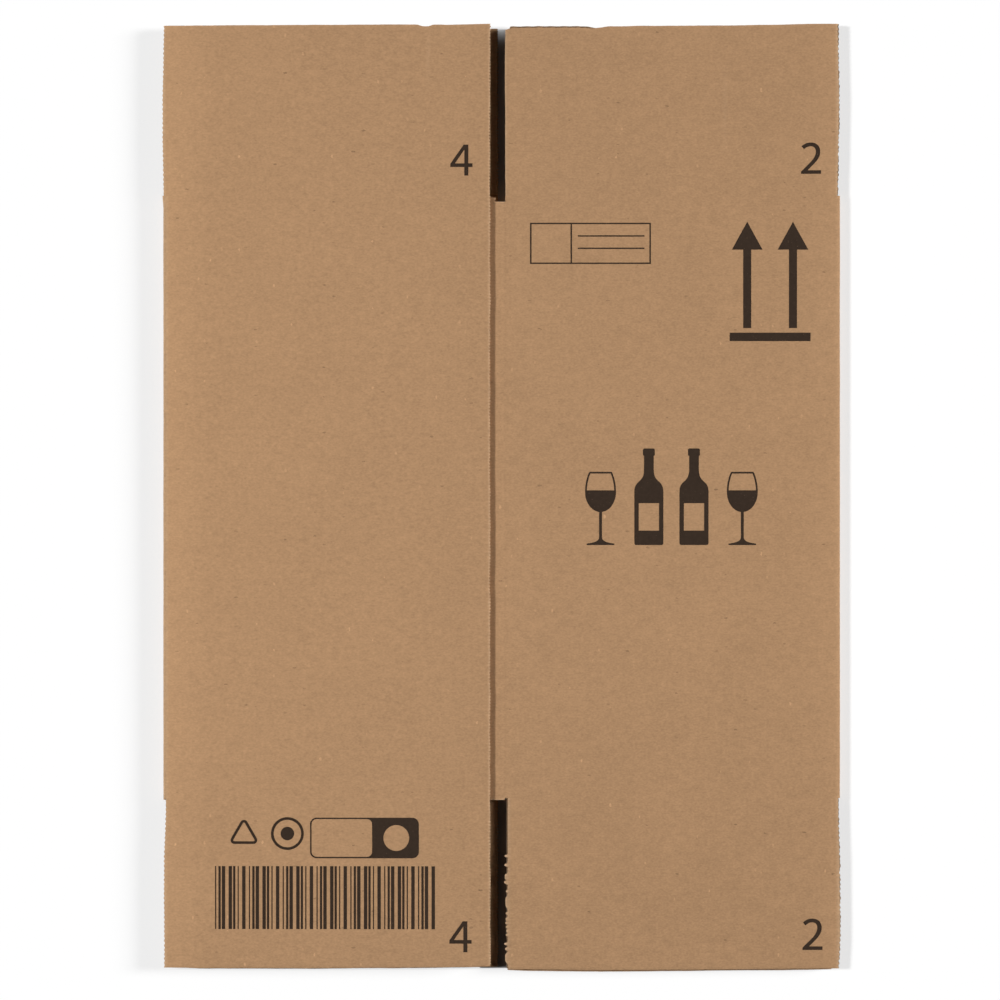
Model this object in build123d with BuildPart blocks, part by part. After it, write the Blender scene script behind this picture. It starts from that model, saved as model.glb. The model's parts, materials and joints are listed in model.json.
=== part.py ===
"""A four-bottle shipping carton of corrugated board, glued at its side joint and lying knocked down flat.

X runs across the panels, Y from the bottom flaps to the top flaps, and Z up from the surface it lies on.
"""

import os
from math import atan2, cos, degrees, sin, tan

from build123d import *

# Board: two liners glued to a fluted sheet whose flutes run along Y
board_thickness = 3.6
liner_thickness = 0.4
fluting_thickness = 0.3
flute_pitch = 7.8
flute_tip_width = 1.2
web_width = 0.45

# Panels: front left and back right are the long pair, front right and back left the short pair
long_panel_width = 212.0
short_panel_width = 208.0
body_height = 374.0
flap_length = 106.0
layer_gap = 0.8

# Glued joint: the front left panel lies on a tab of the front right panel and stops short of its score
joint_gap = 9.0
glue_tab_width = 35.0

# Slots between the flaps, cut a little past the score at the top of the tab
slot_width = 6.0
slot_overcut = 2.4
front_flap_inset = 1.0
back_flap_inset = slot_width - front_flap_inset

# Scores: a groove along each panel score, a crease inside each flap score, and flutes pressed shut beside it
score_width = 1.6
score_depth = 0.4
crease_depth = 1.0
crease_run = 1.8
crush_length = 6.0

# Places across the flat sleeve
right_edge = (long_panel_width + short_panel_width) / 2
left_edge = -right_edge
joint_score = right_edge - short_panel_width
back_score = right_edge - long_panel_width
cut_edge = joint_score - joint_gap
tab_edge = joint_score - glue_tab_width

# Heights of the layers, and the centres that the two side folds turn about
fold_gap_radius = layer_gap / 2
fold_radius = board_thickness + fold_gap_radius
right_fold = right_edge - fold_radius
left_fold = left_edge + fold_radius
front_low = board_thickness + layer_gap
front_high = front_low + board_thickness

# The front left panel leans up from its fold, to lie on the tab
lean = atan2(board_thickness, joint_score - left_fold)
lean_plane = Plane(
    origin=(left_fold, 0, fold_radius),
    x_dir=(cos(lean), 0, sin(lean)),
    z_dir=(0, -1, 0),
)

# Flute channels, wide at one liner and narrow at the other
channel_height = board_thickness - 2 * liner_thickness - fluting_thickness
channel_width = flute_pitch - 2 * web_width - flute_tip_width
channel_run = (channel_width - flute_tip_width) / 2
channel_angle = degrees(atan2(channel_height, channel_run))
channel_length = flap_length - crush_length

# Each pair of flaps: section plane, left and right edges, low face, and whether its inner face is the upper one
flap_sections = {
    "front_left": (
        lean_plane,
        (left_edge + front_flap_inset - left_fold) / cos(lean),
        (cut_edge - left_fold) / cos(lean),
        fold_gap_radius,
        False,
    ),
    "front_right": (Plane.XZ, joint_score, right_edge - front_flap_inset, front_low, False),
    "back_left": (Plane.XZ, left_edge + back_flap_inset, back_score, 0, True),
    "back_right": (Plane.XZ, back_score + slot_width, right_edge - back_flap_inset, 0, True),
}


def leaning_height(x, rise):
    """Height at x of the line that lies this far above the fold's centre in the leaning panel."""
    return fold_radius + rise / cos(lean) + (x - left_fold) * tan(lean)


def leaning_start(radius):
    """Where a face of the leaning panel leaves the round of its fold."""
    return (left_fold - radius * sin(lean), fold_radius + radius * cos(lean))


def build_sleeve():
    """The four body panels and the glue tab: one sheet folded flat, as a section run along the body."""
    half_score = score_width / 2
    with BuildPart() as sleeve:
        with BuildSketch(Plane.XZ):
            with BuildLine():
                Polyline(
                    (left_fold, 0),
                    (back_score - half_score, 0),
                    (back_score, score_depth),
                    (back_score + half_score, 0),
                    (right_fold, 0),
                )
                ThreePointArc((right_fold, 0), (right_edge, fold_radius), (right_fold, front_high))
                Polyline(
                    (right_fold, front_high),
                    (joint_score + half_score, front_high),
                    (joint_score, front_high - score_depth),
                    (joint_score - half_score, leaning_height(joint_score - half_score, fold_gap_radius)),
                    (cut_edge, leaning_height(cut_edge, fold_gap_radius)),
                    (cut_edge, leaning_height(cut_edge, fold_radius)),
                    leaning_start(fold_radius),
                )
                ThreePointArc(leaning_start(fold_radius), (left_edge, fold_radius), (left_fold, 0))
            make_face()
            with BuildLine():
                Line((left_fold, board_thickness), (right_fold, board_thickness))
                ThreePointArc(
                    (right_fold, board_thickness),
                    (right_fold + fold_gap_radius, fold_radius),
                    (right_fold, front_low),
                )
                Polyline(
                    (right_fold, front_low),
                    (joint_score, front_low),
                    (tab_edge, leaning_height(tab_edge, fold_gap_radius - board_thickness)),
                    (tab_edge, leaning_height(tab_edge, fold_gap_radius)),
                    leaning_start(fold_gap_radius),
                )
                ThreePointArc(
                    leaning_start(fold_gap_radius),
                    (left_fold - fold_gap_radius, fold_radius),
                    (left_fold, board_thickness),
                )
            make_face(mode=Mode.SUBTRACT)
        extrude(amount=body_height / 2, both=True)
        # The slot runs past the score into the upper end of the tab
        with BuildSketch(Plane.XZ.offset(-body_height / 2)):
            with Locations((joint_score, fold_radius)):
                Rectangle(slot_width, 2 * board_thickness, align=(Align.MAX, Align.MIN))
        extrude(amount=slot_overcut, mode=Mode.SUBTRACT)
    return sleeve.part


def build_top_flap(section_plane, left, right, low, inner_is_upper):
    """A flap on the upper score, creased inside at the score and with its flutes open at the free edge."""
    centre = (left + right) / 2
    low_channel = low + liner_thickness + channel_height / 2
    high_channel = low_channel + fluting_thickness
    channel_count = int((right - left - flute_tip_width) / flute_pitch)
    root_plane = section_plane.offset(-body_height / 2)
    with BuildPart() as flap:
        with BuildSketch(root_plane):
            with Locations((centre, low)):
                Rectangle(right - left, board_thickness, align=(Align.CENTER, Align.MIN))
        extrude(amount=-flap_length)
        root_face = flap.faces().sort_by(Axis.Y)[0]
        root_edges = root_face.edges().filter_by(lambda edge: edge.length > board_thickness).sort_by(Axis.Z)
        inner_edge = root_edges[-1] if inner_is_upper else root_edges[0]
        chamfer(inner_edge, crease_depth, crease_run, reference=root_face)
        with BuildSketch(root_plane.offset(-flap_length)):
            with Locations((centre, low_channel)):
                with GridLocations(flute_pitch, 0, channel_count, 1):
                    Trapezoid(channel_width, channel_height, channel_angle)
            with Locations((centre, high_channel)):
                with GridLocations(flute_pitch, 0, channel_count - 1, 1):
                    Trapezoid(channel_width, channel_height, channel_angle, rotation=180)
        extrude(amount=channel_length, mode=Mode.SUBTRACT)
    return flap.part


os.makedirs("parts", exist_ok=True)

with BuildPart() as sleeve:
    add(build_sleeve())
sleeve.part.label = "sleeve"
export_step(sleeve.part, "parts/sleeve.step")

for place, section in flap_sections.items():
    with BuildPart() as top_flap:
        add(build_top_flap(*section))
    top_flap.part.label = f"{place}_top_flap"
    export_step(top_flap.part, f"parts/{place}_top_flap.step")

    with BuildPart() as bottom_flap:
        mirror(top_flap.part, about=Plane.XZ)
    bottom_flap.part.label = f"{place}_bottom_flap"
    export_step(bottom_flap.part, f"parts/{place}_bottom_flap.step")
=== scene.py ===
"""Looks of a four-bottle shipping carton of corrugated board, glued at its side joint and lying flat.

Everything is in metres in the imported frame: X across the panels, Y up the panels, Z up from the floor.
Only the print's outlines, the strays of the cuts and the torn bits are in millimetres.
"""

import json
from math import atan2, copysign, cos, pi, radians, sin, sqrt

import bmesh
import bpy
import numpy as np
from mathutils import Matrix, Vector, noise
from mathutils.geometry import tessellate_polygon


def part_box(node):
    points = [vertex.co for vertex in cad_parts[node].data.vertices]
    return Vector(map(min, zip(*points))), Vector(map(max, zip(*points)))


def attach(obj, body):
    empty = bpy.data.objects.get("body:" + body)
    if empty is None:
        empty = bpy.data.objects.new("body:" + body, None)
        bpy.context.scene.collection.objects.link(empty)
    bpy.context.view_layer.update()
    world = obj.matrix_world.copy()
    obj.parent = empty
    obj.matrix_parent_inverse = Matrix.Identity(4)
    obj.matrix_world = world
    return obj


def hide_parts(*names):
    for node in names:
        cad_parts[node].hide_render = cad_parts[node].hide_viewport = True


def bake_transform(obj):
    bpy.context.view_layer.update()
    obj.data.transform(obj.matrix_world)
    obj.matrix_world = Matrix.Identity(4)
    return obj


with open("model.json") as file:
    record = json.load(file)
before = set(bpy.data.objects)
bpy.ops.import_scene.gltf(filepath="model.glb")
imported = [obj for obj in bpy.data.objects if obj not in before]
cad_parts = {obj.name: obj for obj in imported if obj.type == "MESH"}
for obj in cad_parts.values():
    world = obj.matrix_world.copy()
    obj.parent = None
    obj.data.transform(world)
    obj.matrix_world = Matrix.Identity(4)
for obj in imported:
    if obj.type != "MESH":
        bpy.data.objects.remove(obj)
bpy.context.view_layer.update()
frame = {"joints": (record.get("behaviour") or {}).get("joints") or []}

mm = 0.001

# Board: two liners, and a fluted sheet of a second material whose waves run along Y
liner = 0.4 * mm
medium = 0.28 * mm
flute_pitch = 7.8 * mm
ripple_height = 0.014 * mm
column_step = flute_pitch / 6
wave_step = flute_pitch / 14
sharp_angle = radians(32)
fluting_kind = 1

# Cut edges: the band beside a cut, how a knife presses it shut, and its wear, paler also as a painted
# highlight where a pressed edge catches the light
edge_band = 1.5 * mm
edge_shares = (0, 0.4, 0.75, 1.0)
edge_fade = 1.5
side_pinch = 0.2 * mm
end_pinch = 0.25 * mm
end_pinch_run = 1.2 * mm
end_wear = 0.2
end_wear_run = 0.6 * mm

# Free edges: height and length of their roughness, and where the board stretches to the cut
end_roughness = [(0.12 * mm, 9 * mm), (0.07 * mm, 1.7 * mm)]
stretch_start = 15 * mm
stretch_end = 1.5 * mm

# Teeth of a cut: pitch, height, their start at a score, and their pale tips, worn and with a painted
# highlight
joint_tooth = 1.95 * mm
side_tooth = 2.9 * mm
joint_tooth_height = 1.4 * mm
side_tooth_height = 0.7 * mm
worn_tooth_height = 0.3 * mm
tooth_start = 0.15
tooth_start_run = 9 * mm
tooth_contrast = 2.0
tip_average = 5
edge_step = joint_tooth / 4

# Unevenness of the teeth, with its lengths counted in teeth
wander_length = 6.0
wander_phase = 0.15
wander_height = 0.25
uneven_length = 2.3
uneven_mean = 0.75
uneven_range = 0.5

# How far the inner liner shows past the outer one beside a slot and at the joint
slot_under = -0.3 * mm
under_length = 4 * mm
joint_under = 0.15 * mm
joint_under_length = 5 * mm

# Rows of points along a flap, and where its waves start and end
row_start = 14 * mm
row_end = 98 * mm
row_step = 12 * mm
last_row = 2 * mm
wave_overlap = 0.2 * mm
wave_middle = 0.4
wave_recess = 0.25 * mm

# Flap scores: flutes pressed shut, a crease on the inner face, and the strip that bends
crush_length = 6 * mm
crease_depth = 1 * mm
crease_run = 1.8 * mm
# Flap scores: flutes pressed shut, a crease on the inner face, and the strip across the score
bend_half = 1.5 * mm
bend_inset = 0.08 * mm
bend_end = 1 * mm
bend_rows = 25
bend_column_step = 30 * mm

# Sleeve: the tab, the score grooves, and the notch where the slot runs past the score
glue_tab_width = 35 * mm
glue_line = 0.02 * mm
score_half = 1.5 * mm
score_depth = 0.12 * mm
tab_trim = 1.2 * mm
tab_wear = 0.8
tab_wear_run = 1.2 * mm
notch_depth = 3.7 * mm
notch_left = -3.4 * mm
notch_right = 2.6 * mm
notch_step = 0.01 * mm
sleeve_rows = 49

# Side folds: their squareness, how far they stand out, their wrinkles, and their wear with a painted sheen,
# strong on the left fold and faint on the right
fold_squareness = 4.0
nose_steps = 15
left_fold_shift = 0.13 * mm
left_fold_flare = 0.6 * mm
flare_run = 7 * mm
right_fold_shift = 0.6 * mm
left_fold_sheen_and_wear = 0.9
right_fold_sheen_and_wear = 0.1
wrinkle_height = 0.12 * mm
wrinkle_length = 9 * mm
wrinkle_middle = 0.5

# The score at the bottom runs a little lower across the tab and the left fold
overhang_depth = 1.1 * mm
tab_overhang_run = 2 * mm
tab_overhang_fade = 0.5 * mm
fold_overhang_start = 0.8 * mm
fold_overhang_end = 1.6 * mm

# Slow unevenness of the front panels: height, waves up a panel, skew and turn across it
sway_height = 0.2 * mm
right_sway_waves = 2.1
right_sway_skew = 9.0
right_sway_turn = 5.0
left_sway_waves = 1.6
left_sway_skew = 7.0

# Seeds of the noise
flap_seed = 11.3
flap_seed_step = 7.1
under_seed = 3
uneven_seed = 5
joint_tooth_seed = 2.7
joint_under_seed = 8.1
seed_skew = 0.37

# Print: how far the ink stands above and reaches into the board, and its grid
ink_above = 0.05 * mm
ink_below = 0.08 * mm
ink_grid = 6 * mm

# How a flap's cuts stray outward from the drawn lines, as pairs of share and millimetres:
# the free edge from left to right, the sides from root to end; under is the inner liner's reach
straight = [(0, 0), (1, 0)]
plain_cuts = {"free": [(0, -2), (1, -2)], "left": straight, "right": straight, "under": 0.1}
flap_cuts = {
    "front_left_top_flap": {
        "free": [(0, -0.5), (0.1, -0.3), (0.36, -0.13), (0.74, 0.15), (0.87, -0.1), (0.94, 0.18), (1, 0.5)],
        "left": [(0, 0.4), (0.1, 0.55), (0.33, 1.1), (0.56, 1.05), (0.8, 0.5), (1, 0.15)],
        "right": [(0, -0.05), (0.4, 0.05), (1, 0.3)],
    },
    "front_left_bottom_flap": {
        "free": [
            (0, -0.85), (0.1, -0.62), (0.48, -0.6), (0.62, -0.95), (0.73, -0.98), (0.94, -1.5), (1, -1.9),
        ],
        "left": [(0, -0.9), (0.08, -1.05), (0.19, -0.6), (0.36, 0.15), (1, 0)],
        "right": [(0, 0), (0.2, 0.2), (0.5, 0.2), (1, 0.45)],
    },
    "front_right_top_flap": {
        "free": [
            (0, -1.95), (0.08, -1.75), (0.256, -1.7), (0.285, -0.87), (0.33, -0.85),
            (0.41, -0.52), (0.66, -0.3), (0.77, 0), (0.95, 0.8), (1, 0.8),
        ],
        "left": [(0, -0.8), (0.12, -0.6), (0.5, -0.58), (0.65, -0.33), (0.75, -0.33), (1, -0.65)],
        "right": [(0, -0.3), (0.15, 0), (0.33, 0.37), (0.56, 0.76), (0.8, 0.27), (1, -0.05)],
        "under": 0.6,
    },
    "front_right_bottom_flap": {
        "free": [
            (0, 0.05), (0.08, 0.25), (0.29, 0.8), (0.53, 0.55), (0.77, 0.15), (0.88, -0.15), (1, -0.3),
        ],
        "left": [(0, -2.3), (0.3, -2.2), (0.5, -2.1), (0.97, -2.1), (1, -2.7)],
        "right": [(0, 0.1), (0.19, 0.55), (0.36, 1.1), (0.83, 1.3), (0.96, 0.6), (1, 0.4)],
        "under": 0.5,
    },
    "back_left_bottom_flap": {
        "free": [(0, -0.8), (0.08, 0.1), (0.46, 0.25), (0.6, -0.1), (0.7, -0.05), (0.83, -0.4), (1, -1.0)],
    },
    "back_right_bottom_flap": {
        "free": [
            (0, 1.1), (0.07, 1.6), (0.29, 2.05), (0.54, 1.7),
            (0.66, 1.3), (0.8, 1.25), (0.9, 0.95), (1, 0.5),
        ],
    },
}

# Nicks in the free edges: flap, place along X, width, depth
nicks = [
    ("front_left_top_flap", -47 * mm, 7.5 * mm, 1.05 * mm),
    ("front_right_top_flap", 58.9 * mm, 11 * mm, 0.7 * mm),
]

# A clipped corner by the slot: flap, run, depth, and the run of its slope
clip_flap = "front_right_top_flap"
clip_run = 3.6 * mm
clip_depth = 0.9 * mm
clip_slope = 0.6 * mm

# Where the inner liner shows past the free edge, and the fluted sheet by a larger share, whose darker
# colour paints a line of shade along the edge
lip_flap = "front_right_top_flap"
lip_start = 5.6 * mm
lip_start_fade = 0.6 * mm
lip_end = 55 * mm
lip_end_fade = 6 * mm
lip_reach = 0.7 * mm
lip_wave_share = 1.85
lip_run_start = 6 * mm
lip_run_end = 2 * mm

# Pale scuffs on the flaps: flap, place along X, low end, high end, strength
scuffs = [
    ("front_left_top_flap", -45.4 * mm, 256 * mm, 291 * mm, 0.3),
    ("front_right_top_flap", 139 * mm, 213 * mm, 273 * mm, 0.25),
]

# Torn bits along one slot edge, in millimetres: place from the score, half length, reach
torn_flap = "front_right_bottom_flap"
torn_bits = [
    (35.9, 1.0, 2.0), (41.5, 1.2, 2.0), (48.9, 2.6, 1.8), (52.3, 1.4, 2.2), (57.9, 1.0, 1.1),
    (64.4, 4.6, 1.4), (71.6, 1.0, 1.3), (75.3, 1.8, 1.2), (77.5, 1.0, 1.6), (80.0, 1.0, 1.3),
    (82.4, 1.0, 1.0), (84.9, 1.0, 1.2), (90.5, 1.1, 2.1), (93.6, 1.1, 1.7), (99.2, 4.0, 1.5),
]

# Paper: its colours and those where it is rubbed or cut, which also serve for painted sheen and highlights,
# and its surface
liner_colour = (0.43, 0.252, 0.131)
liner_worn_and_sheen_colour = (0.62, 0.42, 0.26)
fluting_colour = (0.24, 0.145, 0.078)
fluting_worn_colour = (0.42, 0.28, 0.17)
paper_surface = {"Roughness": 0.88, "Specular IOR Level": 0.18}
paper_relief = {"Strength": 0.35, "Distance": 0.05 * mm}

# Mottle of the paper: size, stretch, detail, change of brightness
paper_mottle = [
    (1 * mm, (1.6, 1, 1), 3.0, 0.44),
    (2.2 * mm, (1.4, 1, 1), 2.0, 0.25),
    (5 * mm, (1.4, 1, 1), 2.0, 0.16),
    (45 * mm, (1, 1, 1), 2.0, 0.10),
]
mottle_seed_step = 3.0

# Grain of the relief, the worn places and the ink: size, stretch, detail, seed
relief_grain = (0.7 * mm, (1.8, 1, 1), 3.0, 21.0)
worn_grain = (1.5 * mm, (1, 1, 1), 2.0, 17.0)
ink_grain = (2.2 * mm, (1, 1, 1), 3.0, 31.0)

# Stray dark and pale fibres: spacing, share, size, stretch, seed; and change of brightness
paper_fibres = [
    ((3.2 * mm, 0.06, 0.22, (1.9, 0.8, 1), 5.0), -0.34),
    ((3.6 * mm, 0.05, 0.22, (1.0, 1.6, 1), 9.0), 0.32),
]

# Ragged outline of a fibre, counted in spacings, and how faint most fibres are
ragged_fineness = 2.6
ragged_detail = 2.0
ragged_reach = 0.35
faintness = 2.0

# Ink: colour, surface, pores as the fibres above, and how grain and pores lighten it
ink_colour = (0.034, 0.021, 0.0135)
ink_surface = {"Roughness": 0.85, "Specular IOR Level": 0.1}
ink_pores = (1.3 * mm, 0.30, 0.20, (1.4, 1, 1), 13.0)
ink_base = 0.75
ink_grain_gain = 0.5
ink_pore_gain = 1.6

# Painted light: the paper paler at the left fold and a little at the right, where the folds catch the
# light, and darker to the right, top and bottom, where the light falls off: axis, start, end, and the
# change at each
painted_light_drift = [
    ("X", -210 * mm, -180 * mm, 0.12, 0.0),
    ("X", -180 * mm, 40 * mm, 0.02, -0.06),
    ("X", 190 * mm, 205 * mm, 0.0, 0.04),
    ("Y", -290 * mm, -100 * mm, -0.06, 0.0),
    ("Y", 100 * mm, 290 * mm, 0.0, -0.03),
]

# Sockets of a Mix node that mixes colours
mix_first = 6
mix_second = 7
mix_result = 2

# Floor: its surface, its glow for the camera, and where that sets in round the dark strip at each slot,
# in the frame of a flap beside it, so that the strip goes when the flap is folded away;
# the strip is painted shade: without the glow the floor there stays as dark as the shade in the slot
floor_half = 30.0
floor_drop = 0.1 * mm
floor_surface = {"Base Color": (0.4, 0.4, 0.4, 1), "Roughness": 1.0, "Specular IOR Level": 0.0}
floor_glow = 0.6
strip_sides = [("X", -12 * mm, -13.5 * mm), ("X", 8 * mm, 9.5 * mm), ("Z", 1 * mm, 2 * mm)]
strip_ends = {
    "front_left_top_flap": [
        ("Y", 180 * mm, 179 * mm), ("Y", 278.2 * mm, 294.1 * mm), ("Y", 290.2 * mm, 291 * mm),
    ],
    "front_left_bottom_flap": [("Y", -180 * mm, -179 * mm), ("Y", -292.5 * mm, -293.3 * mm)],
}
strip_fade = 3.0

# Lamps: name, azimuth, elevation, strength, spread; and light from all round
suns = [
    ("key_left", 262, 44, 2.69, 9),
    ("key_right", 98, 20, 3.6, 16),
    ("fill_back", 180, 6, 0.2, 10),
]
ambient = 0.012

# Camera: lens and sensor in millimetres, and the width and middle of its view
lens = 200.0
sensor = 36.0
view_width = 620.6 * mm
view_x = -0.67 * mm
view_y = -1.92 * mm
view_z = 9 * mm

# Sizes and places read from the frame
joints = {joint["child"]: joint for joint in frame["joints"]}
flap_names = sorted(joints)
sleeve_low, sleeve_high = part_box("sleeve")
back_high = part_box("back_left_top_flap")[1]
right_low, right_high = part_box("front_right_top_flap")
left_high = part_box("front_left_top_flap")[1]
score_y = sleeve_high.y
board = back_high.z
front_top = right_high.z
front_bottom = right_low.z
joint_score = right_low.x
back_score = back_high.x
back_slot_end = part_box("back_right_top_flap")[0].x
cut_edge = left_high.x
tab_edge = joint_score - glue_tab_width
fold_radius = front_top / 2
gap_radius = fold_radius - board
right_fold = sleeve_high.x - fold_radius
left_fold = sleeve_low.x + fold_radius
lean_joint = joints["front_left_top_flap"]
lean_x, _, lean_z = lean_joint["pos_m"]
lean_axis = np.array(lean_joint["axis"])
lean = atan2(lean_axis[2], lean_axis[0])
lean_board = board / cos(lean)


def lean_top(x):
    """Height of the front left panel's outer face, which leans onto the tab."""
    return lean_z + (x - lean_x) * lean_axis[2] / lean_axis[0]


def ripple(x):
    """The faint washboard of a liner over its flutes."""
    return ripple_height * np.cos(2 * pi * x / flute_pitch)


def through(pairs, share):
    """The stray of a cut edge at this share of its length."""
    shares, strays = zip(*pairs)
    return np.interp(share, shares, strays) * mm


def roughness_of(places, size, seed):
    """Smooth noise from -1 to 1 along a line."""
    flat = np.ravel(places) / size
    values = [noise.noise(Vector((place, seed, seed * seed_skew))) for place in flat]
    return np.reshape(values, np.shape(places))


def teeth(places, pitch, height, seed):
    """The uneven saw-toothed line that a perforating knife leaves."""
    wander = roughness_of(places, wander_length * pitch, seed)
    phase = places / pitch + wander_phase * wander
    saw = 2 * np.abs(phase - np.floor(phase + 0.5)) - 0.5
    uneven = roughness_of(places, uneven_length * pitch, seed + uneven_seed)
    return height * (saw * (uneven_mean + uneven_range * uneven) + wander_height * wander)


def torn_reach(places):
    """How far the torn bits reach out along their edge."""
    torn = np.zeros_like(places)
    for middle, half, jut in torn_bits:
        beside = 1 - np.abs(places / mm - middle) / half
        torn = np.maximum(torn, jut * mm * np.clip(2 * beside, 0, 1))
    return torn


def window(places, low, high):
    """Zero outside the span, one in its middle, and smooth between."""
    share = np.clip((places - low) / (high - low), 0, 1)
    return np.sin(pi * share)


def sway_right(x, y):
    """Slow unevenness of the front right panel."""
    rise = window(x, joint_score, right_fold) * window(y, -score_y, score_y)
    wave = np.sin(right_sway_waves * pi * y / score_y + right_sway_skew * x)
    return sway_height * rise * wave * np.cos(right_sway_turn * x)


def sway_left(x, y):
    """Slow unevenness of the front left panel, up to the tab."""
    rise = window(x, left_fold, tab_edge) * window(y, -score_y, score_y)
    return sway_height * rise * np.sin(left_sway_waves * pi * y / score_y - left_sway_skew * x)


def steps(start, end, step):
    """Evenly spread places from start to end, about a step apart."""
    return np.linspace(start, end, max(2, int(abs(end - start) / step) + 1))


class Form:
    """Closed shells that become one mesh."""

    def __init__(self):
        self.points, self.faces, self.kinds, self.wear_and_sheen = [], [], [], []
        self.count = 0

    def slab(self, first, second, wear_and_sheen=0, kind=0):
        """The closed shell between two grids of points, rows by columns."""
        rows, columns = first.shape[:2]
        size = rows * columns
        index = np.arange(size).reshape(rows, columns)
        corners = [index[:-1, :-1], index[:-1, 1:], index[1:, 1:], index[1:, :-1]]
        quads = np.stack(corners, -1).reshape(-1, 4)
        ring = np.concatenate([index[0, :-1], index[:-1, -1], index[-1, :0:-1], index[:0:-1, 0]])
        after = np.roll(ring, -1)
        walls = np.stack([ring, ring + size, after + size, after], -1)
        faces = np.concatenate([quads, quads[:, ::-1] + size, walls])
        row, column = rows // 2, columns // 2
        across = first[row, column] - first[row, column - 1]
        along = first[row, column] - first[row - 1, column]
        if np.dot(np.cross(across, along), first[row, column] - second[row, column]) < 0:
            faces = faces[:, ::-1]
        worn_and_sheen = wear_and_sheen * np.ones((rows, columns))
        self.points += [first.reshape(-1, 3), second.reshape(-1, 3)]
        self.wear_and_sheen += [worn_and_sheen.ravel(), worn_and_sheen.ravel()]
        self.faces.append(faces + self.count)
        self.kinds += [kind] * len(faces)
        self.count += 2 * size

    def piece(self, name, materials):
        """The mesh object of all the shells."""
        mesh = bpy.data.meshes.new(name)
        mesh.from_pydata(np.concatenate(self.points).tolist(), [], np.concatenate(self.faces).tolist())
        mesh.polygons.foreach_set("material_index", self.kinds)
        worn_and_sheen = mesh.attributes.new("wear_and_sheen", "FLOAT", "POINT")
        worn_and_sheen.data.foreach_set("value", np.concatenate(self.wear_and_sheen).astype(np.float32))
        return finish_piece(name, mesh, materials)


def add_object(name, data):
    made = bpy.data.objects.new(name, data)
    bpy.context.scene.collection.objects.link(made)
    return made


def finish_piece(name, mesh, materials):
    """A piece with smooth faces, sharp corners and its materials."""
    for material in materials:
        mesh.materials.append(material)
    mesh.shade_smooth()
    mesh.set_sharp_from_angle(angle=sharp_angle)
    piece = add_object(name, mesh)
    return piece


def placer(root, across, along, inward):
    """A function from places in a board to points in the frame."""
    def place(u, v, w):
        u, v, w = np.broadcast_arrays(u, v, w)
        return root + u[..., None] * across + v[..., None] * along + w[..., None] * inward
    return place


def edge_strip(form, place, inner_u, edge_u, reach, rows, depth, pinch):
    """A narrow strip of liner out to a toothed cut edge, pale at its tips with wear and a painted
    highlight.
    """
    share = np.array(edge_shares)[None, :]
    jut = np.abs(edge_u - inner_u)
    padded = np.pad(jut, tip_average // 2, mode="edge")
    level = np.convolve(padded, np.full(tip_average, 1 / tip_average), "valid")
    # Painted highlight: the tooth tips paler than the rest of the edge, as if they caught the light
    tip = np.clip(1 + tooth_contrast * (jut - level) / joint_tooth_height, 0, 2)
    u = inner_u + (edge_u[:, None] - inner_u) * share
    v = reach(u, rows)
    w = depth + pinch * share ** 2
    form.slab(place(u, v, w), place(u, v, w + liner), wear_and_sheen=tip[:, None] * share ** edge_fade)


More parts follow.
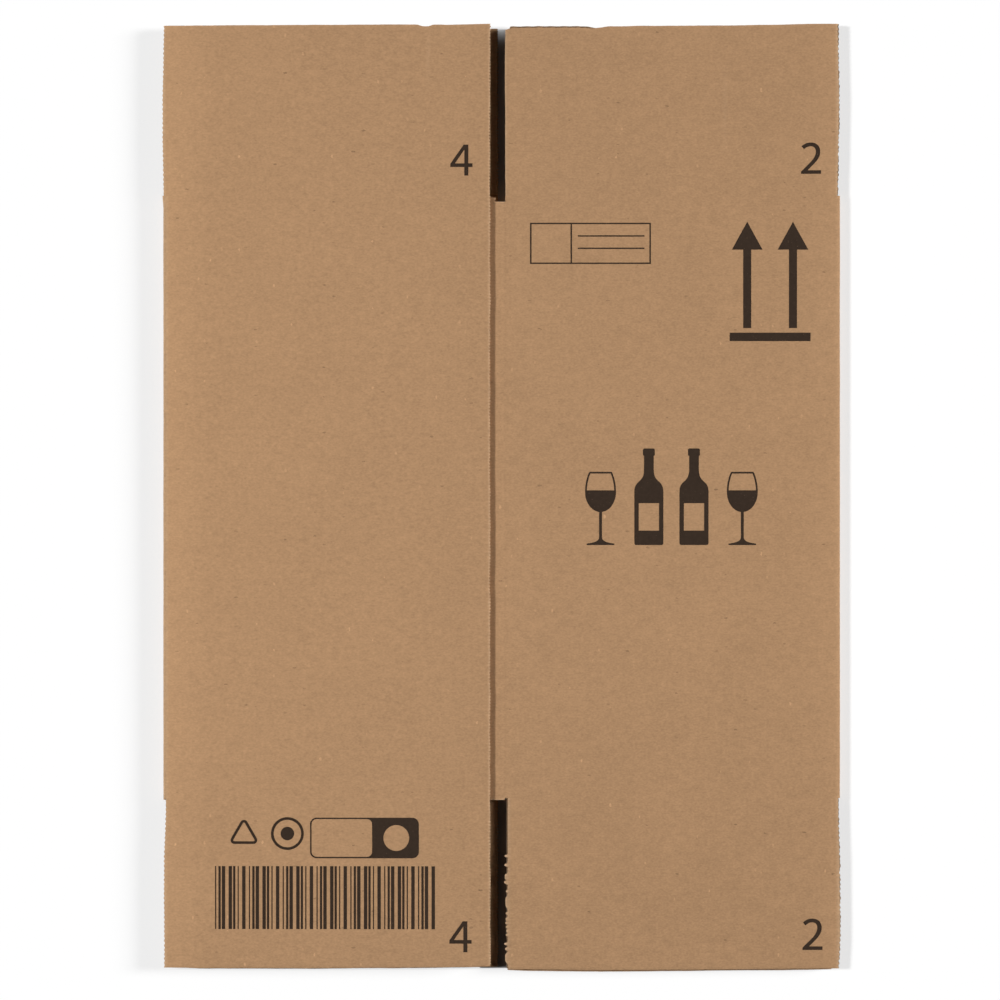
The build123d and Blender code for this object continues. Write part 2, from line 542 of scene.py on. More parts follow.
class Flap:
    """The lines of one flap: u runs across it, v along it from its score, and depths go inward."""

    def __init__(self, name):
        low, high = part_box(name)
        axis = np.array(joints[name]["axis"])
        front = name.startswith("front")
        self.name = name
        self.is_left = "left" in name
        self.cuts = {**plain_cuts, **flap_cuts.get(name, {})}
        self.seed = flap_seed + flap_seed_step * flap_names.index(name)
        self.ridge_low = 0 if front else ripple_height
        self.root = np.array(joints[name]["pos_m"])
        self.across = axis * copysign(1, axis[0])
        self.along = np.array((0, copysign(1, self.root[1]), 0))
        upward = np.cross(self.across, (0, 1, 0))
        self.place = placer(self.root, self.across, self.along, -upward if front else upward)
        self.left = (low.x - self.root[0]) / self.across[0]
        self.right = (high.x - self.root[0]) / self.across[0]
        self.length = high.y - low.y
        self.inner_left = self.left + edge_band + self.recess("left")
        self.inner_right = self.right - edge_band - self.recess("right")

    def recess(self, side):
        """How far a side edge lies inside the drawn line at its deepest."""
        return -min(0, *[stray for _, stray in self.cuts[side]]) * mm

    def near_end(self, v, start, end=0):
        """From zero to one between two distances from the free edge."""
        return np.interp(v, [self.length - start, self.length - end], [0, 1])

    def frame_x(self, u):
        return self.root[0] + u * self.across[0]

    def stray(self, u):
        """How far the free edge lies outside the drawn line."""
        share = (u - self.left) / (self.right - self.left)
        cut = through(self.cuts["free"], share)
        for height, size in end_roughness:
            cut = cut + height * roughness_of(u, size, self.seed)
        for flap, middle, width, depth in nicks:
            if flap == self.name:
                cut = cut - depth * np.exp(-(2 * (self.frame_x(u) - middle) / width) ** 4)
        if self.name == clip_flap:
            cut = cut - clip_depth * np.clip((clip_run - (u - self.left)) / clip_slope, 0, 1)
        return cut

    def reach(self, u, v):
        """The place along the flap, stretched near its free edge to the cut."""
        return v + self.stray(u) * self.near_end(v, stretch_start, stretch_end)

    def lip(self, u, v):
        """How far the inner liner shows past the outer one at the free edge."""
        if self.name != lip_flap:
            return 0 * u
        span = [lip_start - lip_start_fade, lip_start, lip_end, lip_end + lip_end_fade]
        shown = np.interp(self.frame_x(u), span, [0, lip_reach, lip_reach, 0])
        return shown * self.near_end(v, lip_run_start, lip_run_end)

    def inner_reach(self, u, v):
        return self.reach(u, v) + self.lip(u, v)

    def end_press(self, v):
        """How far each liner is pressed in at the free edge."""
        return end_pinch * self.near_end(v, end_pinch_run)

    def outer_depth(self, u, v):
        return self.end_press(v) + self.ridge_low - ripple(self.frame_x(u))

    def inner_depth(self, u, v):
        """Depth of the inner liner, which the crease presses outward at the score."""
        level = board - liner - crease(v) - self.end_press(v)
        return level + ripple(self.frame_x(u)) * np.minimum(1, v / crush_length)

    def add_liners(self, form):
        """Both liners between the edge bands, with their rubbed places."""
        u = steps(self.inner_left, self.inner_right, column_step)
        if self.name == clip_flap:
            u = np.sort(np.append(u, [self.left + clip_run - clip_slope, self.left + clip_run]))
        u = u[None, :]
        near_score = [0, crease_run / 2, crease_run, crush_length]
        near_end = self.length - np.array([last_row, end_pinch_run, end_wear_run, 0])
        v = np.concatenate([near_score, steps(row_start, row_end, row_step), near_end])[:, None]
        worn_and_sheen = end_wear * self.near_end(v, end_wear_run) + 0 * u
        for flap, middle, start, end, strength in scuffs:
            if flap == self.name:
                beside = np.clip(1 - np.abs(self.frame_x(u) - middle) / column_step, 0, 1)
                worn_and_sheen = np.maximum(worn_and_sheen, strength * beside * window(self.root[1] + v, start, end))
        for reach, depth in ((self.reach, self.outer_depth), (self.inner_reach, self.inner_depth)):
            along, w = reach(u, v), depth(u, v)
            form.slab(self.place(u, along, w), self.place(u, along, w + liner), wear_and_sheen=worn_and_sheen)

    def add_sides(self, form):
        """The toothed side edges of both liners, one of them with torn bits."""
        fine = steps(0, self.length, edge_step)
        rows = fine[:, None]
        start = np.interp(fine, [0, tooth_start_run], [tooth_start, 1])
        edges = ((-1, "left", self.inner_left, self.left), (1, "right", self.inner_right, self.right))
        for side, edge, inner_u, drawn in edges:
            on_slot = (edge == "right") == self.is_left
            if on_slot:
                pitch = joint_tooth
                height = joint_tooth_height if self.is_left else worn_tooth_height
                under = slot_under
            else:
                pitch, height = side_tooth, side_tooth_height
                uneven = roughness_of(fine, under_length, self.seed + under_seed)
                under = self.cuts["under"] * mm * (1 + uneven)
            outward = start * teeth(fine, pitch, height, self.seed + side)
            outward = outward + through(self.cuts[edge], fine / self.length)
            if self.name == torn_flap and on_slot:
                outward = outward + torn_reach(fine)
                under = under - torn_reach(fine)
            lines = (
                (outward, self.reach, self.outer_depth, side_pinch),
                (outward + under, self.inner_reach, self.inner_depth, -side_pinch),
            )
            for jut, reach, depth, pinch in lines:
                edge_u = drawn + side * jut
                edge_strip(form, self.place, inner_u, edge_u, reach, rows, depth(inner_u, rows), pinch)

    def add_waves(self, form):
        """The fluted sheet, and the pressed board that closes it at the score."""
        ends = np.array([self.left + edge_band, self.right - edge_band])
        u = steps(*ends, wave_step)[None, :]
        v = [crush_length - wave_overlap, wave_middle * self.length]
        v += [self.length - end_pinch_run, self.length - wave_recess]
        v = np.array(v)[:, None]
        height = (board - 2 * liner - medium) / 2 - self.end_press(v)
        turn = 2 * pi * self.frame_x(u) / flute_pitch
        slope = -height * 2 * pi / flute_pitch * np.sin(turn)
        rise = medium / 2 / np.sqrt(1 + slope ** 2)
        wave = board / 2 - height * np.cos(turn)
        # Painted shade: the fluted sheet reaches past the liners, so its darker colour shows as a shaded
        # line along the free edge
        along = self.reach(u, v) + lip_wave_share * self.lip(u, v)
        upper = self.place(u - slope * rise, along, wave - rise)
        lower = self.place(u + slope * rise, along, wave + rise)
        form.slab(upper, lower, kind=fluting_kind)
        core_v = np.array([0, crease_run, crush_length])[:, None]
        core_inner = board - liner - crease(core_v)
        upper, lower = self.place(ends, core_v, liner), self.place(ends, core_v, core_inner)
        form.slab(upper, lower, kind=fluting_kind)


def crease(v):
    """Depth of the crease in the inner face beside a flap's score."""
    return np.interp(v, [0, crease_run], [crease_depth, 0])


def build_flap(name, materials):
    """One flap of liners and waves, with its flutes open at the free edge."""
    flap = Flap(name)
    form = Form()
    flap.add_liners(form)
    flap.add_sides(form)
    flap.add_waves(form)
    piece = form.piece(name + "_board", materials)
    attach(piece, name)
    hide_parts(name)
    build_bend(name, flap, materials)


def build_bend(name, flap, materials):
    """The board across a flap's score, hidden inside the board at rest."""
    left = flap.left + bend_end - min(0, flap.cuts["left"][0][1]) * mm
    right = flap.right - bend_end + min(0, flap.cuts["right"][0][1]) * mm
    u = steps(left, right, bend_column_step)[None, :]
    v = np.linspace(-bend_half, bend_half, bend_rows)[:, None]
    inner = board - crease(np.abs(v)) - bend_inset
    form = Form()
    form.slab(flap.place(u, v, bend_inset), flap.place(u, v, inner))
    piece = form.piece(name + "_score", materials)
    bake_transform(piece)


def groove(x, score):
    """Depth of the groove that a panel score presses into the outer face."""
    return score_depth * np.clip(1 - np.abs(x - score) / score_half, 0, 1)


def nose(centre_x, start, end):
    """Points round a side fold, squarish outside and round inside, and not cut back."""
    angle = np.linspace(start, end, nose_steps)[1:-1]
    level, upright = np.cos(angle), np.sin(angle)
    inner = (centre_x + gap_radius * level, fold_radius + gap_radius * upright)
    level = np.sign(level) * np.abs(level) ** (2 / fold_squareness)
    upright = np.sign(upright) * np.abs(upright) ** (2 / fold_squareness)
    outer = (centre_x + fold_radius * level, fold_radius + fold_radius * upright)
    return *outer, *inner, 0 * angle


def fold_pull(outer_x, outer_z, y):
    """How far the side folds stand out, with small wrinkles."""
    pull = np.zeros_like(y)
    for column in np.nonzero(np.maximum(outer_x - right_fold, left_fold - outer_x) > 0)[0]:
        x, rows = outer_x[column], y[:, column]
        level = outer_z[column] / fold_radius
        spots = [Vector((row / wrinkle_length, level, x)) for row in rows]
        crumple = [wrinkle_height * (noise.noise(spot) - wrinkle_middle) for spot in spots]
        shift = right_fold_shift
        if x < 0:
            shift = left_fold_shift - left_fold_flare * np.clip(1 - (score_y - rows) / flare_run, 0, 1)
        out = (abs(x) - right_fold) / fold_radius
        pull[:, column] = min(1, out) * (np.array(crumple) * np.sign(x) + shift)
    return pull


def unstretched(u, v):
    """The place along a board that ends at its drawn line."""
    return v


def add_joint_edge(form, inner_x):
    """The toothed cut edge of the front left panel, its inner liner a little longer."""
    inward = np.array((sin(lean), 0, -cos(lean)))
    place = placer(np.array((lean_x, 0, lean_z)), lean_axis, np.array((0, 1, 0)), inward)
    fine = steps(-score_y, score_y, edge_step)
    inner_u = (inner_x - lean_x) / cos(lean)
    drawn = (cut_edge - lean_x) / cos(lean)
    edge_u = drawn + teeth(fine, joint_tooth, joint_tooth_height, joint_tooth_seed)
    under = joint_under * (1 + roughness_of(fine, joint_under_length, joint_under_seed))
    rows = fine[:, None]
    edge_strip(form, place, inner_u, edge_u, unstretched, rows, -ripple(inner_x), side_pinch)
    edge_strip(form, place, inner_u, edge_u + under, unstretched, rows, board - liner, 0)


def build_sleeve(materials):
    """The four body panels and the tab as one folded sheet."""
    # Front right panel and the tab
    knots = [joint_score - score_half, joint_score, joint_score + score_half]
    knots += [notch_left - notch_step, notch_left, notch_right, notch_right + notch_step]
    front_x = np.unique(np.concatenate([steps(tab_edge, right_fold, column_step), knots]))
    on_tab = front_x < joint_score
    tab_outer = lean_top(front_x) - lean_board - glue_line
    front_outer = np.where(on_tab, tab_outer, front_top + ripple(front_x))
    front_outer = front_outer - groove(front_x, joint_score)
    front_inner = np.where(on_tab, lean_top(front_x) - 2 * lean_board, front_bottom)
    in_notch = (front_x >= notch_left) & (front_x <= notch_right)
    front_end = np.where(in_notch, notch_depth, np.where(front_x < notch_left, tab_trim, 0))

    # Back panels, from right to left
    knots = [back_score - score_half, back_score - notch_step, back_score, back_score + score_half]
    knots += [back_slot_end, back_slot_end + notch_step]
    back_x = np.unique(np.concatenate([steps(left_fold, right_fold, column_step), knots]))[::-1]
    back_end = np.where((back_x >= back_score) & (back_x <= back_slot_end), notch_depth, 0)
    back_outer = ripple_height + ripple(back_x) + groove(back_x, back_score)
    back_inner = np.full_like(back_x, board)

    # Front left panel, which leans onto the tab
    left_x = steps(left_fold - fold_radius * sin(lean), cut_edge - edge_band, column_step)
    left_outer = lean_top(left_x) + ripple(left_x) * np.clip((left_x - left_x[0]) / flute_pitch, 0, 1)
    left_inner = lean_top(left_x) - lean_board
    left_inner[0] = fold_radius + gap_radius * cos(lean)

    # The whole section with the two side folds, and the overhang at its lower end
    sections = [
        (front_x, front_outer, front_x, front_inner, front_end),
        nose(right_fold, pi / 2, -pi / 2),
        (back_x, back_outer, back_x, back_inner, back_end),
        nose(left_fold, -pi / 2, -3 * pi / 2 + lean),
        (left_x, left_outer, left_x, left_inner, 0 * left_x),
    ]
    outer_x, outer_z, inner_x, inner_z, cut_back = map(np.concatenate, zip(*sections))
    front_count, left_count = len(front_x), len(left_x)
    tab_span = [cut_edge - tab_overhang_run, cut_edge, joint_score, joint_score + tab_overhang_fade]
    fold_span = [sleeve_low.x + fold_overhang_start, sleeve_low.x + fold_overhang_end]
    overhang = np.zeros_like(outer_x)
    overhang[:front_count] = np.interp(front_x, tab_span, [0, overhang_depth, overhang_depth, 0])
    overhang = np.maximum(overhang, np.interp(outer_x, fold_span, [overhang_depth, 0]))
    near_end = 1 - tab_wear_run / score_y
    share = np.unique(np.concatenate([np.linspace(-1, 1, sleeve_rows), [-near_end, near_end]]))[:, None]
    y = share * np.where(share > 0, score_y - cut_back, score_y + overhang)

    rise = np.zeros_like(y)
    rise[:, :front_count] = np.where(on_tab, 0, sway_right(front_x, y[:, :front_count]))
    rise[:, -left_count:] = sway_left(left_x, y[:, -left_count:])
    # Painted sheen: the side folds paler with their wear, as if they caught the light, the left much more
    # than the right
    worn_and_sheen = left_fold_sheen_and_wear * np.clip((left_fold - outer_x) / fold_radius, 0, 1)
    worn_and_sheen = worn_and_sheen + right_fold_sheen_and_wear * np.clip((outer_x - right_fold) / fold_radius, 0, 1)
    cut_end = np.zeros_like(outer_x)
    cut_end[:front_count] = tab_wear * (front_x < notch_right)
    worn_and_sheen = worn_and_sheen + cut_end * (np.abs(share) > 1 - tab_wear_run / score_y / 2)

    form = Form()
    outer = np.stack([outer_x + fold_pull(outer_x, outer_z, y), y, outer_z + rise], -1)
    inner = np.stack([inner_x + 0 * y, y, inner_z + rise], -1)
    form.slab(outer, inner, wear_and_sheen=worn_and_sheen)
    add_joint_edge(form, left_x[-1])
    piece = form.piece("sleeve_board", materials)
    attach(piece, "sleeve")
    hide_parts("sleeve")


def rectangle(left, right, low, high):
    return [(left, low), (right, low), (right, high), (left, high)]


def arc(x, y, radius, turns):
    """Points about a centre, at these angles."""
    return [(x + radius * cos(turn), y + radius * sin(turn)) for turn in turns]


def circle(x, y, radius, count=56):
    return arc(x, y, radius, [2 * pi * k / count for k in range(count)])


def rounded(left, right, low, high, radius, count=8):
    """A rectangle with rounded corners."""
    left, right, low, high = left + radius, right - radius, low + radius, high - radius
    turns = np.linspace(0, pi / 2, count)
    outline = []
    for quarter, (x, y) in enumerate([(right, high), (left, high), (left, low), (right, low)]):
        outline += arc(x, y, radius, quarter * pi / 2 + turns)
    return outline


def rounded_triangle(x, y, reach, radius, count=7):
    """An upright triangle with rounded corners, whose sharp ones would reach this far."""
    turns = np.linspace(-pi / 3, pi / 3, count)
    outline = []
    for corner in (pi / 2, 7 * pi / 6, 11 * pi / 6):
        middle_x = x + (reach - 2 * radius) * cos(corner)
        middle_y = y + (reach - 2 * radius) * sin(corner)
        outline += arc(middle_x, middle_y, radius, corner + turns)
    return outline


def mirrored(half):
    """A closed outline from its right half, given from bottom to top."""
    return half + [(-x, y) for x, y in reversed(half)]


def moved(outline, x, y):
    return [(x + px, y + py) for px, py in outline]


def curve(start, start_pull, end_pull, end, count):
    """Points on a Bezier curve, without its last one."""
    share = np.linspace(0, 1, count, endpoint=False)[:, None]
    ends = (1 - share) ** 3 * np.array(start) + share ** 3 * np.array(end)
    first = 3 * share * (1 - share) ** 2 * np.array(start_pull)
    second = 3 * share ** 2 * (1 - share) * np.array(end_pull)
    return [tuple(point) for point in ends + (first + second)]


def print_piece(name, body, shapes, surface, material):
    """A thin layer of ink on the board: each shape is an outline with its holes, in millimetres."""
    sheet = bmesh.new()
    for shape in shapes:
        loops = [[Vector((x * mm, y * mm, 0)) for x, y in outline] for outline in shape]
        flat = [point for loop in loops for point in loop]
        tops = [sheet.verts.new(point) for point in flat]
        lows = [sheet.verts.new(point - Vector((0, 0, ink_above + ink_below))) for point in flat]
        for a, b, c in tessellate_polygon(loops):
            up = (flat[b] - flat[a]).cross(flat[c] - flat[a]).z > 0
            turn = (a, b, c) if up else (c, b, a)
            sheet.faces.new([tops[k] for k in turn])
            sheet.faces.new([lows[k] for k in reversed(turn)])
        first = 0
        for loop in loops:
            count = len(loop)
            for k in range(count):
                here, there = first + k, first + (k + 1) % count
                sheet.faces.new([tops[here], lows[here], lows[there], tops[there]])
            first += count
    # Cuts along a grid let the ink follow the board
    for axis in (0, 1):
        places = [vert.co[axis] for vert in sheet.verts]
        normal = Vector((1 - axis, axis, 0))
        for cut in np.arange(min(places) + ink_grid / 2, max(places), ink_grid):
            parts = sheet.verts[:] + sheet.edges[:] + sheet.faces[:]
            bmesh.ops.bisect_plane(sheet, geom=parts, plane_co=normal * cut, plane_no=normal)
    bmesh.ops.recalc_face_normals(sheet, faces=sheet.faces)
    for vert in sheet.verts:
        vert.co.z += surface(vert.co.x, vert.co.y) + ink_above
    mesh = bpy.data.meshes.new(name)
    sheet.to_mesh(mesh)
    sheet.free()
    piece = finish_piece(name, mesh, [material])
    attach(piece, body)


def on_right(x, y):
    """Outer face of the front right panel and its flaps."""
    return front_top + float(sway_right(x, y))


def on_left(x, y):
    """Outer face of the front left flaps."""
    return lean_top(x)


def figure_four():
    """The outline of a plain 4 about its centre, with its hole."""
    outline = [(1.8, -9.6), (4.3, -9.6), (4.3, -4.3), (6.9, -4.3), (6.9, -2.0), (4.3, -2.0)]
    outline += [(4.3, 9.6), (1.4, 9.6), (-6.9, -2.3), (-6.9, -4.3), (1.8, -4.3)]
    hole = [(1.8, 6.4), (-4.0, -2.0), (1.8, -2.0)]
    return outline, hole


def figure_two():
    """The outline of a plain 2 about its centre."""
    outline = curve((-4.4, 5.5), (-2.9, 6.8), (-1.6, 7.4), (-0.3, 7.4), 6)
    outline += curve((-0.3, 7.4), (1.9, 7.4), (3.0, 6.0), (3.0, 4.0), 10)
    outline += curve((3.0, 4.0), (3.0, 1.6), (1.6, -0.6), (-1.2, -3.4), 10)
    outline += [(-1.2, -3.4), (-6.2, -8.3), (-6.2, -9.75), (6.2, -9.75), (6.2, -7.5), (-2.0, -7.5)]
    outline += [(-2.0, -7.4), (1.3, -4.1)]
    outline += curve((1.3, -4.1), (4.2, -1.2), (5.7, 1.0), (5.7, 4.1), 12)
    outline += curve((5.7, 4.1), (5.7, 7.7), (3.3, 9.75), (-0.1, 9.75), 12)
    outline += curve((-0.1, 9.75), (-2.2, 9.75), (-4.2, 8.9), (-5.9, 7.4), 8)
    return outline + [(-5.9, 7.4)]


def print_numbers(ink):
    """A plain number by the outer corner of each front flap."""
    fours = [("front_left_top_flap", -24.6, 208.9), ("front_left_bottom_flap", -25.2, -272.8)]
    twos = [("front_right_top_flap", 192.4, 210.3), ("front_right_bottom_flap", 193.3, -271.5)]
    outline, hole = figure_four()
    for flap, x, y in fours:
        print_piece(flap + "_number", flap, [[moved(outline, x, y), moved(hole, x, y)]], on_left, ink)
    for flap, x, y in twos:
        print_piece(flap + "_number", flap, [[moved(figure_two(), x, y)]], on_right, ink)


def print_arrows(ink):
    """Two arrows over a bar, for the side that stays up."""
    apex, head_low, foot = 170.8, 153.5, 104.8
    head_half, shaft_half = 9.5, 2.5
    bar_left, bar_right, bar_low, bar_high = 141.9, 192.1, 96.7, 102.0
    arrow_places = (152.8, 181.2)
    half = [(shaft_half, foot), (shaft_half, head_low), (head_half, head_low), (0, apex)]
    arrow = half + [(-x, y) for x, y in reversed(half[:-1])]
    shapes = [[rectangle(bar_left, bar_right, bar_low, bar_high)]]
    for x in arrow_places:
        shapes.append([moved(arrow, x, 0)])
    print_piece("upright_arrows", "sleeve", shapes, on_right, ink)


def print_field(ink):
    """A blank framed field with a square cell and two ruled lines."""
    left, right, low, high, line = 18.0, 93.0, 144.6, 170.2, 0.9
    margin, line_shares = 4.0, (0.38, 0.68)
    divide = left + (high - low)
    cell = rectangle(left + line, divide - line / 2, low + line, high - line)
    rest = rectangle(divide + line / 2, right - line, low + line, high - line)
    shapes = [[rectangle(left, right, low, high), cell, rest]]
    for share in line_shares:
        y = low + share * (high - low)
        shapes.append([rectangle(divide + margin, right - margin, y - line / 2, y + line / 2)])
    print_piece("blank_field", "sleeve", shapes, on_right, ink)


def bottle_outline():
    """A standing bottle about its foot, with a bare label."""
    body, neck, lip, corner = 9.0, 3.0, 3.7, 1.5
    half = [(body - corner, 0)]
    half += curve((body - corner, 0), (body - 0.4, 0), (body, 0.4), (body, corner), 5)[1:]
    half += [(body, corner)]
    half += curve((body, 33), (body, 41), (neck, 38), (neck, 47), 14)
    half += [(neck, 47), (neck, 55.4), (lip, 55.7), (lip, 59.3), (neck, 60)]
    label = rectangle(-6.3, 6.3, 9, 26)
    return mirrored(half), label


def glass_outline():
    """A stemmed glass about its foot, half full."""
    stem, foot, bowl, waist = 0.9, 8.6, 9.6, 33.0
    below, above, rim, wall, level = 12.5, 18.0, 45.5, 1.1, 34.0
    bowl_start = 0.12
    half = [(foot, 0), (foot, 0.9)] + curve((foot, 0.9), (4, 1.6), (stem, 2.2), (stem, 5), 8)
    half += [(stem, 5), (stem, waist - below)]
    for turn in np.linspace(bowl_start, pi / 2, 14):
        half.append((bowl * sin(turn), waist - below * cos(turn)))
    for turn in np.linspace(0, np.arcsin((rim - waist) / above), 8)[1:]:
        half.append((bowl * cos(turn), waist + above * sin(turn)))
    inside = []
    for height in np.linspace(level, rim - wall, 8):
        inside.append((bowl * sqrt(1 - ((height - waist) / above) ** 2) - wall, height))
    return mirrored(half), mirrored(inside)


def print_bottles(ink):
    """Two bottles between two stemmed glasses, for what the carton holds."""
    middle, foot = 105.75, -29.9
    bottle_offset, glass_offset = 14, 44
    shapes = []
    for outlines, offset in ((bottle_outline(), bottle_offset), (glass_outline(), glass_offset)):
        for x in (middle - offset, middle + offset):
            shapes.append([moved(outline, x, foot) for outline in outlines])
    print_piece("bottles_and_glasses", "sleeve", shapes, on_right, ink)


def print_bars(ink):
    """A row of plain bars of uneven width, which spell nothing."""
    left, right, low, high = -177.5, -41.0, -268.2, -229.1
    count = 91
    widths = [1 + (k * k * 3 + k * 5) % 7 % 3 for k in range(count)]
    unit = (right - left) / sum(widths)
    shapes = []
    x = left
    for k, width in enumerate(widths):
        if k % 2 == 0:
            shapes.append([rectangle(x, x + width * unit, low, high)])
        x += width * unit
    print_piece("plain_bars", "front_left_bottom_flap", shapes, on_left, ink)


def print_marks(ink):
    """Plain shapes in a row: a triangle, a ring, and a framed panel with a bare disc."""
    line, panel_line = 1.7, 0.9
    triangle_x, triangle_y, reach, corner = -159.6, -209.6, 11.6, 2.4
    ring_x, ring_y, ring_radius, dot_radius = -132.6, -208.9, 10.2, 4.2
    left, right, low, high, divide = -118.5, -51.0, -224.2, -199.0, -80.0
    panel_corner, bare_corner, disc_x, disc_radius = 4.0, 3.2, -65.0, 8.0
    triangle = rounded_triangle(triangle_x, triangle_y, reach, corner)
    inside = rounded_triangle(triangle_x, triangle_y, reach - 2 * line, corner - line)
    ring = [circle(ring_x, ring_y, ring_radius), circle(ring_x, ring_y, ring_radius - line)]
    dot = circle(ring_x, ring_y, dot_radius)
    panel = rounded(left, right, low, high, panel_corner)
    bare = rounded(left + panel_line, divide, low + panel_line, high - panel_line, bare_corner)
    disc = circle(disc_x, (low + high) / 2, disc_radius)
    shapes = [[triangle, inside], ring, [dot], [panel, bare, disc]]
    print_piece("plain_marks", "front_left_bottom_flap", shapes, on_left, ink)


def set_inputs(tree, node, inputs):
    """Link each input to a socket, or set it to a plain value."""
    for key, value in inputs.items():
        if isinstance(value, bpy.types.NodeSocket):
            tree.links.new(value, node.inputs[key])
        else:
            node.inputs[key].default_value = value


def add_node(tree, kind, inputs=None, **settings):
    """A shader node with its settings and inputs."""
    made = tree.nodes.new("ShaderNode" + kind)
    for key, value in settings.items():
        setattr(made, key, value)
    set_inputs(tree, made, inputs or {})
    return made


def math_node(tree, operation, first, second, third=0.0):
    made = add_node(tree, "Math", {0: first, 1: second, 2: third}, operation=operation)
    return made.outputs[0]


def vector_node(tree, operation, inputs):
    return add_node(tree, "VectorMath", inputs, operation=operation).outputs["Vector"]


def ramp(tree, value, start, end, first, last):
    """A value that goes from first to last between two places."""
    span = {"Value": value, "From Min": start, "From Max": end, "To Min": first, "To Max": last}
    return add_node(tree, "MapRange", span).outputs["Result"]


def scaled_place(tree, place, size, stretch, shift):
    """The place counted in lengths of this size, drawn out along the axes."""
    scale = tuple(1 / (size * length) for length in stretch)
    spot = add_node(tree, "Mapping", {"Vector": place, "Scale": scale, "Location": shift})
    return spot.outputs["Vector"]


def grain(tree, place, size, stretch, detail, seed):
    """Noise whose features are about this size, drawn out along the axes."""
    spot = scaled_place(tree, place, size, stretch, (seed, 2 * seed, 0))
    made = add_node(tree, "TexNoise", {"Vector": spot, "Scale": 1.0, "Detail": detail})
    return made.outputs["Fac"]


def flecks(tree, place, spacing, share, size, stretch, seed):
    """A mask of sparse ragged fibres, most of them faint."""
    wander = {"Vector": place, "Scale": ragged_fineness / spacing, "Detail": ragged_detail}
    ragged = add_node(tree, "TexNoise", wander)
    shift = vector_node(tree, "SCALE", {0: ragged.outputs["Color"], "Scale": ragged_reach * spacing})
    shifted = vector_node(tree, "ADD", {0: place, 1: shift})
    spot = {"Vector": scaled_place(tree, shifted, spacing, stretch, (seed, seed, 0)), "Scale": 1.0}
    cells = add_node(tree, "TexVoronoi", spot, voronoi_dimensions="2D")
    parts = add_node(tree, "SeparateColor", {"Color": cells.outputs["Color"]})
    chosen = math_node(tree, "LESS_THAN", parts.outputs["Red"], share)
    radius = math_node(tree, "MULTIPLY", parts.outputs["Green"], size)
    near = math_node(tree, "LESS_THAN", cells.outputs["Distance"], radius)
    strength = math_node(tree, "POWER", parts.outputs["Blue"], faintness)
    return math_node(tree, "MULTIPLY", math_node(tree, "MULTIPLY", chosen, near), strength)


def start_material(name):
    """A new material with its node tree and its shader."""
    material = bpy.data.materials.new(name)
    material.use_nodes = True
    tree = material.node_tree
    return material, tree, tree.nodes["Principled BSDF"]


def kraft_material(name, colour, worn_and_sheen_colour):
    """Brown paper: mottled, with stray fibres, paler where it is worn and where sheen and highlights are
    painted, and with painted light that falls off across the carton.
    """
    material, tree, shader = start_material(name)
    place = add_node(tree, "TexCoord").outputs["Object"]
    brightness = 1.0 - sum(layer[-1] for layer in paper_mottle) / 2
    for number, (size, stretch, detail, gain) in enumerate(paper_mottle):
        value = grain(tree, place, size, stretch, detail, mottle_seed_step * number)
        brightness = math_node(tree, "MULTIPLY_ADD", value, gain, brightness)
    for fibres, gain in paper_fibres:
        mask = flecks(tree, place, *fibres)
        brightness = math_node(tree, "MULTIPLY_ADD", mask, gain, brightness)
    axes = add_node(tree, "SeparateXYZ", {"Vector": place})
    # Painted light: paler at the folds and darker where the light falls off
    for axis, start, end, first, last in painted_light_drift:
        painted_light = ramp(tree, axes.outputs[axis], start, end, first, last)
        brightness = math_node(tree, "ADD", brightness, painted_light)
    # The pale colour comes with wear and with the painted sheen on the folds and the painted highlights on
    # the cut edges
    wear_and_sheen = add_node(tree, "Attribute", attribute_name="wear_and_sheen").outputs["Fac"]
    ragged = math_node(tree, "MULTIPLY", wear_and_sheen, grain(tree, place, *worn_grain))
    colours = {"Factor": ragged, mix_first: (*colour, 1), mix_second: (*worn_and_sheen_colour, 1)}
    paper = add_node(tree, "Mix", colours, data_type="RGBA")
    lit = vector_node(tree, "SCALE", {0: paper.outputs[mix_result], "Scale": brightness})
    bump = add_node(tree, "Bump", {"Height": grain(tree, place, *relief_grain), **paper_relief})
    set_inputs(tree, shader, {"Base Color": lit, "Normal": bump.outputs["Normal"], **paper_surface})
    return material


def ink_material():
    """Flat dark ink that the paper's pores break up a little."""
    material, tree, shader = start_material("print_ink")
    place = add_node(tree, "TexCoord").outputs["Object"]
    mottle = grain(tree, place, *ink_grain)
    pores = flecks(tree, place, *ink_pores)
    light = math_node(tree, "MULTIPLY_ADD", mottle, ink_grain_gain, ink_base)
    light = math_node(tree, "MULTIPLY_ADD", pores, ink_pore_gain, light)
    lit = vector_node(tree, "SCALE", {0: ink_colour, "Scale": light})
    set_inputs(tree, shader, {"Base Color": lit, **ink_surface})
    return material


def add_sun(name, azimuth, elevation, strength, spread):
    """A far lamp that shines from this side, in degrees: azimuth 0 is -Y, 90 is +X."""
    lamp = bpy.data.lights.new(name, "SUN")
    lamp.energy = strength
    lamp.angle = radians(spread)
    turn, tilt = radians(azimuth), radians(elevation)
    away = Vector((sin(turn) * cos(tilt), -cos(turn) * cos(tilt), sin(tilt)))
    add_object(name, lamp).rotation_euler = away.to_track_quat("Z", "Y").to_euler()


def seen_rays(tree):
    """One for the rays that show the background, also by way of gloss or glass."""
    path = add_node(tree, "LightPath")
    seen = math_node(tree, "MAXIMUM", path.outputs["Is Camera Ray"], path.outputs["Is Glossy Ray"])
    return math_node(tree, "MAXIMUM", seen, path.outputs["Is Transmission Ray"])


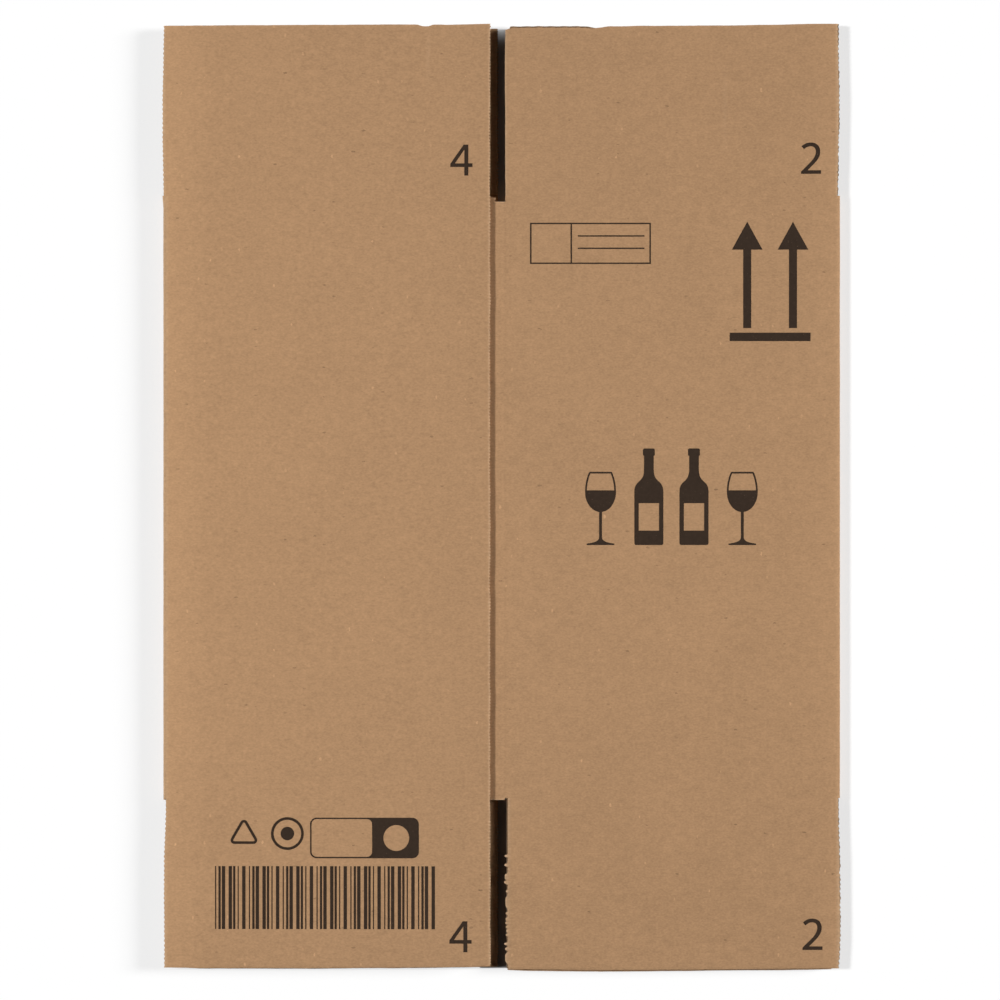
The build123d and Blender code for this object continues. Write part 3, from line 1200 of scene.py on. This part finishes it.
def add_light():
    """Low soft light from both sides, and a little from all round."""
    for sun in suns:
        add_sun(*sun)
    world = bpy.data.worlds.new("studio")
    world.use_nodes = True
    bpy.context.scene.world = world
    tree = world.node_tree
    strength = math_node(tree, "MULTIPLY_ADD", seen_rays(tree), 1 - ambient, ambient)
    set_inputs(tree, tree.nodes["Background"], {"Color": (1, 1, 1, 1), "Strength": strength})


def add_floor():
    """A floor, white to the camera, with a pale shadow, and with painted shade in the slots, where the glow
    is left out.
    """
    mesh = bpy.data.meshes.new("floor")
    corners = rectangle(-floor_half, floor_half, -floor_half, floor_half)
    mesh.from_pydata([(x, y, -floor_drop) for x, y in corners], [], [(0, 1, 2, 3)])
    material, tree, shader = start_material("floor")
    # Painted shade: no glow in a strip under each slot, so that the slots stay dark
    outside = 1.0
    for name, ends in strip_ends.items():
        flap_board = bpy.data.objects[name + "_board"]
        place = add_node(tree, "TexCoord", object=flap_board).outputs["Object"]
        axes = add_node(tree, "SeparateXYZ", {"Vector": place})
        beside = 0.0
        for axis, start, end in strip_sides + ends:
            past = ramp(tree, axes.outputs[axis], start, end, 0.0, 1.0)
            beside = math_node(tree, "MAXIMUM", beside, past)
        outside = math_node(tree, "MINIMUM", outside, beside)
    glow = math_node(tree, "MULTIPLY", math_node(tree, "POWER", outside, strip_fade), floor_glow)
    glow = math_node(tree, "MULTIPLY", glow, seen_rays(tree))
    glowing = {"Emission Strength": glow, "Emission Color": (1, 1, 1, 1)}
    set_inputs(tree, shader, {**floor_surface, **glowing})
    mesh.materials.append(material)
    floor = add_object("floor", mesh)


def add_camera():
    """A long lens straight down on the carton."""
    data = bpy.data.cameras.new("camera")
    data.lens = lens
    data.sensor_width = sensor
    camera = add_object("camera", data)
    camera.location = (view_x, view_y, view_z + view_width * lens / sensor)
    bpy.context.scene.camera = camera


def build_carton():
    """The sleeve, the flaps and the print, with their materials."""
    kraft = kraft_material("kraft_liner", liner_colour, liner_worn_and_sheen_colour)
    fluting = kraft_material("kraft_fluting", fluting_colour, fluting_worn_colour)
    ink = ink_material()
    build_sleeve([kraft, fluting])
    for name in flap_names:
        build_flap(name, [kraft, fluting])
    for draw in (print_numbers, print_arrows, print_field, print_bottles, print_bars, print_marks):
        draw(ink)


build_carton()
add_floor()
add_light()
add_camera()
bpy.context.scene.view_settings.view_transform = "Standard"
